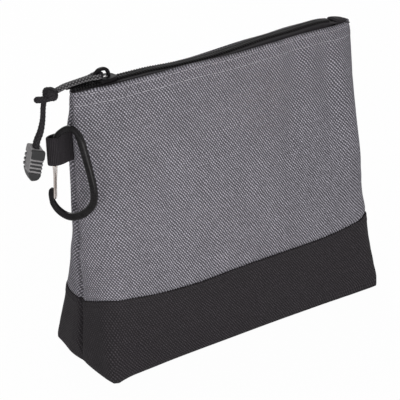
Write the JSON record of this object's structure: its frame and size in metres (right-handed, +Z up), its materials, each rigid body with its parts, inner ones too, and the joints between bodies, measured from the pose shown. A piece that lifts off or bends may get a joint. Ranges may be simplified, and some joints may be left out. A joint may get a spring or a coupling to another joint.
{
  "type": "zippered tool bag",
  "caption": "Soft zippered tool bag with a flat base, a cord pull on the zipper slider and a webbing loop on one side seam that holds a carabiner.",
  "frame": {"origin": "middle of the bag's flat underside, on the plane that it stands on", "axes": "+X along the zipper from the end with the pull and the loop to the other end, +Y from front to back, +Z up"},
  "size_m": [0.2837, 0.0826, 0.2224],
  "materials": {
    "grey_fabric": "heavy ballistic weave",
    "black_fabric": "heavy ballistic weave",
    "binding": "plain woven tape",
    "zipper_tape": "fine woven tape",
    "zipper_teeth": "satin",
    "slider_metal": "black plated",
    "webbing": "ribbed webbing",
    "cord": "braided",
    "grip_black": "matte",
    "grip_grey": "matte",
    "carabiner_black": "satin anodised",
    "steel": "polished wire"
  },
  "bodies": {
    "bag": {"front_panel": "grey_fabric", "back_panel": "grey_fabric", "base_panel": "black_fabric", "side_seam_binding_left": "binding", "side_seam_binding_right": "binding", "corner_seam_binding_left": "binding", "corner_seam_binding_right": "binding", "base_seam_binding_front": "binding", "base_seam_binding_back": "binding", "zipper_tape_front": "zipper_tape", "zipper_tape_back": "zipper_tape", "zipper_teeth_front": "zipper_teeth", "zipper_teeth_back": "zipper_teeth", "zipper_top_stop_front": "slider_metal", "zipper_top_stop_back": "slider_metal", "zipper_bottom_stop": "slider_metal", "zipper_end_tab": "webbing", "webbing_loop": "webbing"},
    "slider": {"slider_body": "slider_metal"},
    "pull": {"pull_cord_bight": "cord", "pull_cord_strand_front": "cord", "pull_cord_strand_back": "cord", "pull_cord_knot": "cord", "pull_cord_end": "cord"},
    "grip": {"pull_cord_drop": "cord", "pull_grip_core": "grip_black", "pull_grip_shell": "grip_grey"},
    "carabiner": {"carabiner_body": "carabiner_black"},
    "gate": {"carabiner_gate": "steel"}
  },
  "joints": [
    {"name": "slider_slide", "type": "slide", "parent": "bag", "child": "slider", "axis": [1, 0, 0], "range_m": [-0.013, 0.189], "deforming": ["zipper_teeth_front", "zipper_teeth_back", "pull_cord_knot", "pull_cord_end", "pull_cord_drop", "pull_grip_core", "pull_grip_shell"]},
    {"name": "pull_lift", "type": "hinge", "parent": "slider", "child": "pull", "pos_m": [-0.0994, 0, 0.2187], "axis": [0, 1, 0], "range_deg": [0, 150]},
    {"name": "grip_swing", "type": "hinge", "parent": "pull", "child": "grip", "pos_m": [-0.1384, 0, 0.211], "axis": [0, 1, 0], "range_deg": [0, 60]},
    {"name": "carabiner_swing", "type": "hinge", "parent": "bag", "child": "carabiner", "pos_m": [-0.1382, 0, 0.168], "axis": [0, 0, -1], "range_deg": [-5, 70]},
    {"name": "gate_open", "type": "hinge", "parent": "carabiner", "child": "gate", "pos_m": [-0.1382, 0, 0.158], "axis": [-0.848, -0.5299, 0], "range_deg": [0, 25], "stiffness_Nm_per_rad": 0.4, "springref_deg": -8.59}
  ]
}
